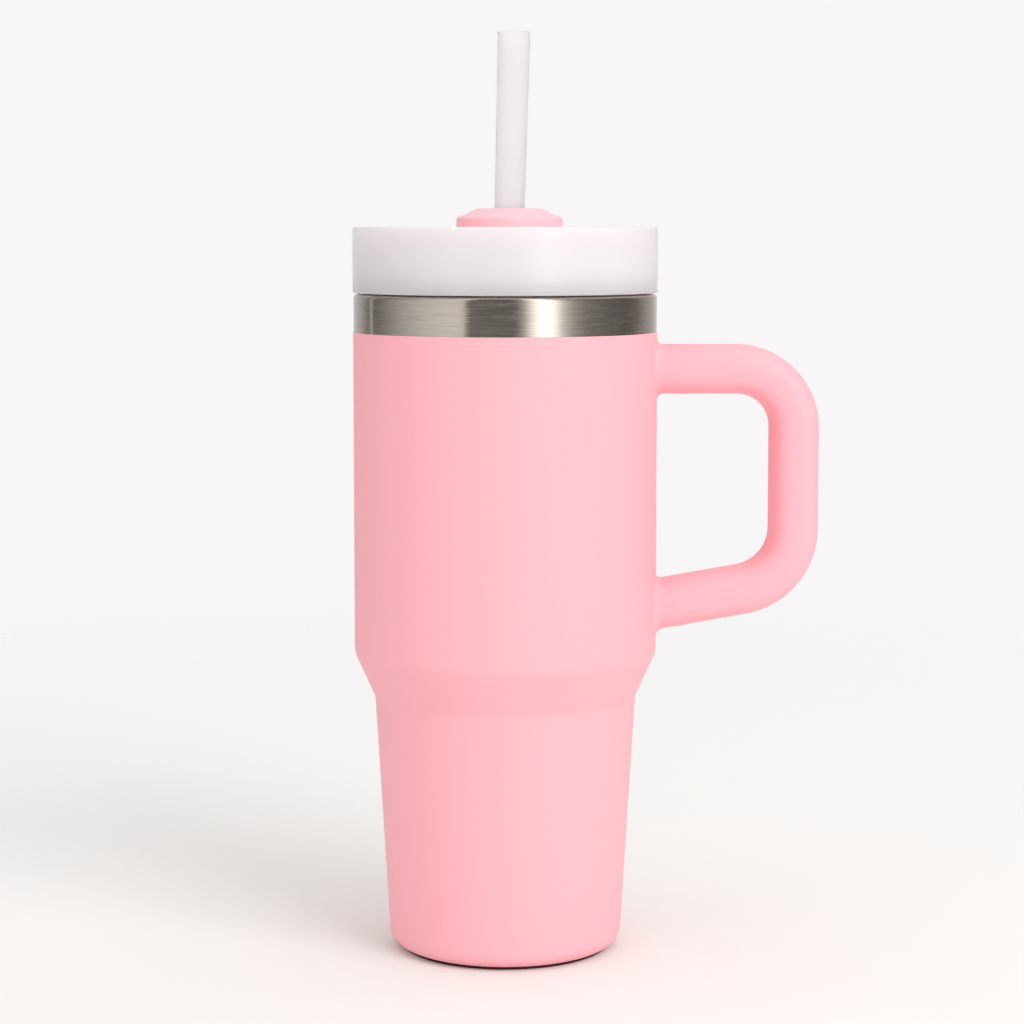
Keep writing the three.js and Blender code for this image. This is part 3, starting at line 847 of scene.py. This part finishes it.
def lid():
    inner = PLUG_R - 2.5 * MM
    skirt = 46.9 * MM
    seat = GASKET_TOP + 0.3 * MM
    body = lathe("frosted_lid_body", [
        (0, LID_UNDERSIDE),
        (inner, LID_UNDERSIDE, 1 * MM),
        (inner, PLUG_BOTTOM, 0.6 * MM),
        (PLUG_R, PLUG_BOTTOM, 0.9 * MM),
        (PLUG_R, seat, 0.3 * MM),
        (skirt, seat, 0.3 * MM),
        (skirt, LID_BOTTOM, 0.3 * MM),
        (LID_SIDE_R + LID_BEAD, LID_BOTTOM, 0.3 * MM),
        (LID_SIDE_R + LID_BEAD, LID_BOTTOM + 0.7 * MM, 0.15 * MM),
        (LID_SIDE_R, LID_BOTTOM + 0.9 * MM, 0.3 * MM),
        (LID_SIDE_R, LID_TOP, 0.8 * MM),
        (WELL_TOP_R, LID_TOP, 0.9 * MM),
        (WELL_FLOOR_R, LID_FLOOR, 3 * MM),
        (0, LID_FLOOR),
    ])
    join(body, *thread_lugs(PLUG_R, -1, LID_THREAD_Z))
    stop = sector_cutter(
        DISC_R - 1.4 * MM,
        DISC_R + 1 * MM,
        STOP_ANGLE - STOP_HALF_ANGLE,
        STOP_ANGLE + STOP_HALF_ANGLE,
        LID_FLOOR - 0.5 * MM,
        DISC_TOP - 0.3 * MM,
        steps=8,
    )
    join(body, stop)
    cut(
        body,
        round_cutter(COVER_X, 0, HUB_R + 0.35 * MM, LID_UNDERSIDE, LID_FLOOR),
        slot_cutter(-90, SIP_WIDTH, SIP_HALF_ANGLE, LID_UNDERSIDE, LID_FLOOR),
        vent_cutter(VENT_ANGLE, LID_UNDERSIDE, LID_FLOOR),
    )
    return body


def gasket():
    inner = PLUG_R + 0.25 * MM
    outer = 46.6 * MM
    bottom = BRIM + 0.25 * MM
    middle = (bottom + GASKET_TOP) / 2
    return lathe("lid_gasket_ring", [
        (inner, bottom, 0.5 * MM),
        (outer, bottom, 0.5 * MM),
        (outer, middle - 0.4 * MM, 0.2 * MM),
        (outer - 0.7 * MM, middle, 0.3 * MM),
        (outer, middle + 0.4 * MM, 0.2 * MM),
        (outer, GASKET_TOP, 0.5 * MM),
        (inner, GASKET_TOP, 0.5 * MM),
    ])


def thumb_tab():
    """The rounded fin that a thumb pushes to turn the cover."""
    length_from, length_to = BOSS_R - 0.8 * MM, 31 * MM
    half, bottom, top = 2.6 * MM, DISC_TOP - 0.4 * MM, 233.2 * MM
    levels = (
        (bottom, -0.8),
        (DISC_TOP + 0.3 * MM, -0.3),
        (DISC_TOP + 1 * MM, 0),
        (top - 0.8 * MM, 0.25),
        (top - 0.25 * MM, 0.55),
        (top, 1.1),
    )
    rings = []
    for z, shrink in levels:
        inset = shrink * MM
        ring = []
        end = length_to - inset * 1.5 - half
        for k in range(25):
            angle = -math.pi / 2 + math.pi * k / 24
            ring.append((end + (half - inset) * math.cos(angle), (half - inset) * math.sin(angle), z))
        ring += [(length_from, half - inset, z), (length_from, -half + inset, z)]
        rings.append(ring)
    tab = loft("tab", rings)
    tab.data.transform(Matrix.Translation((COVER_X, 0, 0)) @ Matrix.Rotation(math.pi / 2, 4, "Z"))
    return tab


def cover():
    bore = HUB_R - 1.3 * MM
    lip_r, lip_top = HUB_R + 0.7 * MM, HUB_BOTTOM + 0.5 * MM
    wall = 1.8 * MM
    body = lathe("pink_sip_cover", [
        (bore, BOSS_TOP - 1.5 * MM),
        (bore, HUB_BOTTOM, 0.3 * MM),
        (lip_r, HUB_BOTTOM, 0.2 * MM),
        (lip_r, lip_top),
        (HUB_R, lip_top),
        (HUB_R, BOSS_TOP - 2.1 * MM),
        (10.2 * MM, BOSS_TOP - 2.1 * MM),
        (BOSS_R - wall, BOSS_SIDE_TOP - 1.6 * MM),
        (BOSS_R - wall, DISC_BOTTOM),
        (DISC_R, DISC_BOTTOM, 0.4 * MM),
        (DISC_R, DISC_TOP, 0.7 * MM),
        (BOSS_R, DISC_TOP, 1.2 * MM),
        (BOSS_R, BOSS_SIDE_TOP, 1.0 * MM),
        (14.2 * MM, BOSS_SIDE_TOP + 1 * MM, 6 * MM),
        (10.3 * MM, BOSS_TOP, 0.9 * MM),
        (BOSS_BORE_R, BOSS_TOP, 0.45 * MM),
        (BOSS_BORE_R, BOSS_TOP - 1.5 * MM),
    ], centre_x=COVER_X)
    join(body, thumb_tab())
    slack = STOP_HALF_ANGLE + 2
    cut(
        body,
        slot_cutter(-90 - COVER_TRAVEL, SIP_WIDTH + 1 * MM, SIP_HALF_ANGLE + 1, DISC_BOTTOM, DISC_TOP),
        sector_cutter(
            DISC_R - 1.9 * MM,
            DISC_R + 1 * MM,
            STOP_ANGLE - COVER_TRAVEL - slack,
            STOP_ANGLE + slack,
            DISC_BOTTOM - 1 * MM,
            DISC_TOP + 1 * MM,
        ),
        vent_cutter(VENT_ANGLE - COVER_TRAVEL, DISC_BOTTOM, DISC_TOP),
    )
    return body


def sip_pad():
    bottom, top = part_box("sip_seal")[0].z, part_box("sip_seal")[1].z
    width, edge = SIP_WIDTH + 4 * MM, 0.25 * MM
    rings = []
    for z, grow in ((bottom, -edge), (bottom + 0.15 * MM, 0), (top, 0)):
        rings.append(arc_slot(width + 2 * grow, -90, SIP_HALF_ANGLE + 4, z))
    return smooth(loft("sip_pad", rings))


def retainer():
    bottom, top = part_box("cover_retainer")[0].z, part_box("cover_retainer")[1].z
    inner, outer = HUB_R + 0.3 * MM, 12.5 * MM
    return lathe("snap_ring", [
        (inner, bottom, 0.2 * MM),
        (outer, bottom, 0.5 * MM),
        (outer, top, 0.3 * MM),
        (inner, top, 0.2 * MM),
    ], SMALL_ROUND, COVER_X)


def straw_ring():
    bottom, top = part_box("straw_seal")[0].z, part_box("straw_seal")[1].z
    outer = HUB_R - 1.6 * MM
    lip_r, bore = 5.3 * MM, 5.9 * MM
    return lathe("straw_grommet", [
        (outer, bottom, 0.2 * MM),
        (outer, bottom + 3 * MM, 0.2 * MM),
        (outer - 0.4 * MM, bottom + 4 * MM, 0.2 * MM),
        (outer, bottom + 5 * MM, 0.2 * MM),
        (outer, top, 0.3 * MM),
        (lip_r + 0.05 * MM, top, 0.4 * MM),
        (lip_r, top - 1.9 * MM, 0.4 * MM),
        (bore, top - 3.4 * MM, 0.4 * MM),
        (bore, bottom, 0.2 * MM),
    ], SMALL_ROUND, COVER_X)


def straw():
    bore = STRAW_FOOT_R - STRAW_WALL
    bead, bead_r = -214 * MM, 2.9 * MM
    piece = lathe("drinking_straw", [
        (bore, -STRAW_BELOW, 0.35 * MM),
        (STRAW_FOOT_R, -STRAW_BELOW, 0.35 * MM),
        (STRAW_FOOT_R, bead - bead_r, 0.8 * MM),
        (STRAW_FOOT_R + bead_r, bead, 1.2 * MM),
        (STRAW_FOOT_R, bead + bead_r, 0.8 * MM),
        (STRAW_FOOT_R, 0, 20 * MM),
        (STRAW_MOUTH_R, STRAW_ABOVE, 0.4 * MM),
        (STRAW_MOUTH_R - STRAW_WALL, STRAW_ABOVE, 0.4 * MM),
        (bore, 0, 20 * MM),
    ], SMALL_ROUND)
    lean = Matrix.Rotation(STRAW_LEAN, 4, "Y")
    piece.data.transform(Matrix.Translation((STRAW_X, 0, BOSS_TOP)) @ lean)
    return piece


def build_lid():
    fit(lid(), "lid_body", "lid", FROSTED)
    fit(gasket(), "lid_gasket", "lid_carrier", SILICONE)
    fit(cover(), "rotary_cover", "cover", COVER)
    fit(sip_pad(), "sip_seal", "cover", SILICONE)
    fit(retainer(), "cover_retainer", "cover", FROSTED)
    fit(straw_ring(), "straw_seal", "cover", SILICONE)
    fit(straw(), "straw", "straw", STRAW)


# ---- Studio ----

def camera():
    """Looks down a little from the front, with a small shift for the framing."""
    data = bpy.data.cameras.new("camera")
    data.sensor_width = 36
    data.lens = 92.5
    data.shift_y = -0.045
    cam = bpy.data.objects.new("camera", data)
    bpy.context.scene.collection.objects.link(cam)
    cam.location = (0.00221, -0.85, 0.234)
    pitch = math.radians(5.15)
    cam.rotation_euler = (math.pi / 2 - pitch, 0, 0)
    data.clip_start, data.clip_end = 0.05, 50
    bpy.context.scene.camera = cam


def floor():
    """A pale floor whose edge fades out, so that it has no horizon."""
    fade_from, fade_to = 0.25, 0.9
    bpy.ops.mesh.primitive_circle_add(vertices=96, radius=3, fill_type="NGON")
    ground = bpy.context.object
    ground.name = "floor"
    n = Nodes("floor")
    n.set(Roughness=0.7, IOR=1.3)
    n.shader.inputs["Base Color"].default_value = (*linear(233, 234, 232), 1)
    place = n.place()
    distance = n.add("ShaderNodeVectorMath", operation="LENGTH")
    n.link(place, distance.inputs[0])
    n.link(n.spread(distance.outputs["Value"], 1, 0, fade_from, fade_to), n.shader.inputs["Alpha"])
    ground.data.materials.append(n.material)


def softbox(name, azimuth, elevation, distance, size, power):
    """A square light aimed at the tumbler. Azimuth 0 is the camera's side and 90 is the handle's.
    It lights the surfaces, but glossy and transmitted rays don't see it."""
    data = bpy.data.lights.new(name, "AREA")
    data.shape = "SQUARE"
    data.size = size
    data.energy = power
    light = bpy.data.objects.new(name, data)
    bpy.context.scene.collection.objects.link(light)
    a, e = math.radians(azimuth), math.radians(elevation)
    aim = Vector((0, 0, 0.13))
    away = Vector((math.sin(a) * math.cos(e), -math.cos(a) * math.cos(e), math.sin(e)))
    light.location = aim + away * distance
    light.rotation_mode = "QUATERNION"
    light.rotation_quaternion = away.to_track_quat("Z", "Y")
    light.visible_glossy = False
    light.visible_transmission = False


# Brightness of the studio's walls by azimuth: 0 is the camera's side, 90 the handle's side and 180
# behind the object. Only glossy rays see these walls. The values are not those of a plain studio:
# they were worked out from how bright the steel band is, place by place, in the photograph, and
# then adjusted. The narrow peak at -121 stands for one thin line there.
WALLS = (
    (-180, 0.75), (-140, 0.5), (-129, 0.28), (-123, 0.2), (-121, 0.9), (-119, 0.18), (-108, 0.25),
    (-90, 0.46), (-65, 0.75), (-42, 0.9), (-32, 0.92), (-27, 0.18), (8, 0.17), (14, 0.5), (21, 1.5),
    (28, 2.4), (35, 2.2), (44, 0.9), (53, 0.45), (64, 0.25), (84, 0.17), (104, 0.14), (118, 0.19),
    (134, 0.4), (160, 0.65), (180, 0.75),
)


def plain_background(tree, color, strength):
    node = add_node(tree, "ShaderNodeBackground")
    node.inputs["Color"].default_value = (*color, 1)
    node.inputs["Strength"].default_value = strength
    return node.outputs["Background"]


def walls_background(tree):
    """The studio's walls, as bright as WALLS says at each azimuth."""
    link = tree.links.new
    split = add_node(tree, "ShaderNodeSeparateXYZ")
    link(add_node(tree, "ShaderNodeTexCoord").outputs["Generated"], split.inputs["Vector"])
    flip = add_node(tree, "ShaderNodeMath", operation="MULTIPLY")
    flip.inputs[1].default_value = -1
    link(split.outputs["Y"], flip.inputs[0])
    azimuth = add_node(tree, "ShaderNodeMath", operation="ARCTAN2")
    link(split.outputs["X"], azimuth.inputs[0])
    link(flip.outputs["Value"], azimuth.inputs[1])
    fraction = add_node(tree, "ShaderNodeMapRange")
    link(azimuth.outputs["Value"], fraction.inputs["Value"])
    fraction.inputs["From Min"].default_value = -math.pi
    fraction.inputs["From Max"].default_value = math.pi
    ramp = add_node(tree, "ShaderNodeValToRGB")
    link(fraction.outputs["Result"], ramp.inputs["Fac"])
    brightest = max(value for _, value in WALLS)
    stops = ramp.color_ramp.elements
    while len(stops) > 1:
        stops.remove(stops[-1])
    for i, (angle, value) in enumerate(WALLS):
        position = (angle + 180) / 360
        stop = stops[0] if i == 0 else stops.new(position)
        stop.position = position
        stop.color = (value / brightest,) * 3 + (1,)
    walls = add_node(tree, "ShaderNodeBackground")
    link(ramp.outputs["Color"], walls.inputs["Color"])
    walls.inputs["Strength"].default_value = brightest
    return walls.outputs["Background"]


def mix_shaders(tree, factor, first, second):
    node = add_node(tree, "ShaderNodeMixShader")
    tree.links.new(factor, node.inputs["Fac"])
    tree.links.new(first, node.inputs[1])
    tree.links.new(second, node.inputs[2])
    return node.outputs["Shader"]


def world():
    """Three skies in one: an even one lights matt surfaces, WALLS shows in glossy ones, and a plain
    pale backdrop stands behind the object and shows through clear pieces."""
    scene_world = bpy.data.worlds.new("studio")
    bpy.context.scene.world = scene_world
    scene_world.use_nodes = True
    tree = scene_world.node_tree
    tree.nodes.clear()
    soft = plain_background(tree, (1.0, 0.985, 0.975), 0.86)
    backdrop = plain_background(tree, linear(248, 246, 247), 1)
    paths = add_node(tree, "ShaderNodeLightPath")
    lit = mix_shaders(tree, paths.outputs["Is Glossy Ray"], soft, walls_background(tree))
    in_view = add_node(tree, "ShaderNodeMath", operation="ADD", use_clamp=True)
    tree.links.new(paths.outputs["Is Camera Ray"], in_view.inputs[0])
    tree.links.new(paths.outputs["Is Transmission Ray"], in_view.inputs[1])
    seen = mix_shaders(tree, in_view.outputs["Value"], lit, backdrop)
    out = add_node(tree, "ShaderNodeOutputWorld")
    tree.links.new(seen, out.inputs["Surface"])


def studio():
    world()
    floor()
    softbox("key", azimuth=42, elevation=31, distance=3.2, size=1.8, power=50)
    softbox("front_fill", azimuth=-4, elevation=14, distance=2.6, size=1.4, power=4)
    softbox("top", azimuth=0, elevation=85, distance=2.8, size=2.8, power=10.5)
    view = bpy.context.scene.view_settings
    view.view_transform = "Standard"
    view.look = "None"


camera()
build_cup()
build_handle()
build_lid()
studio()
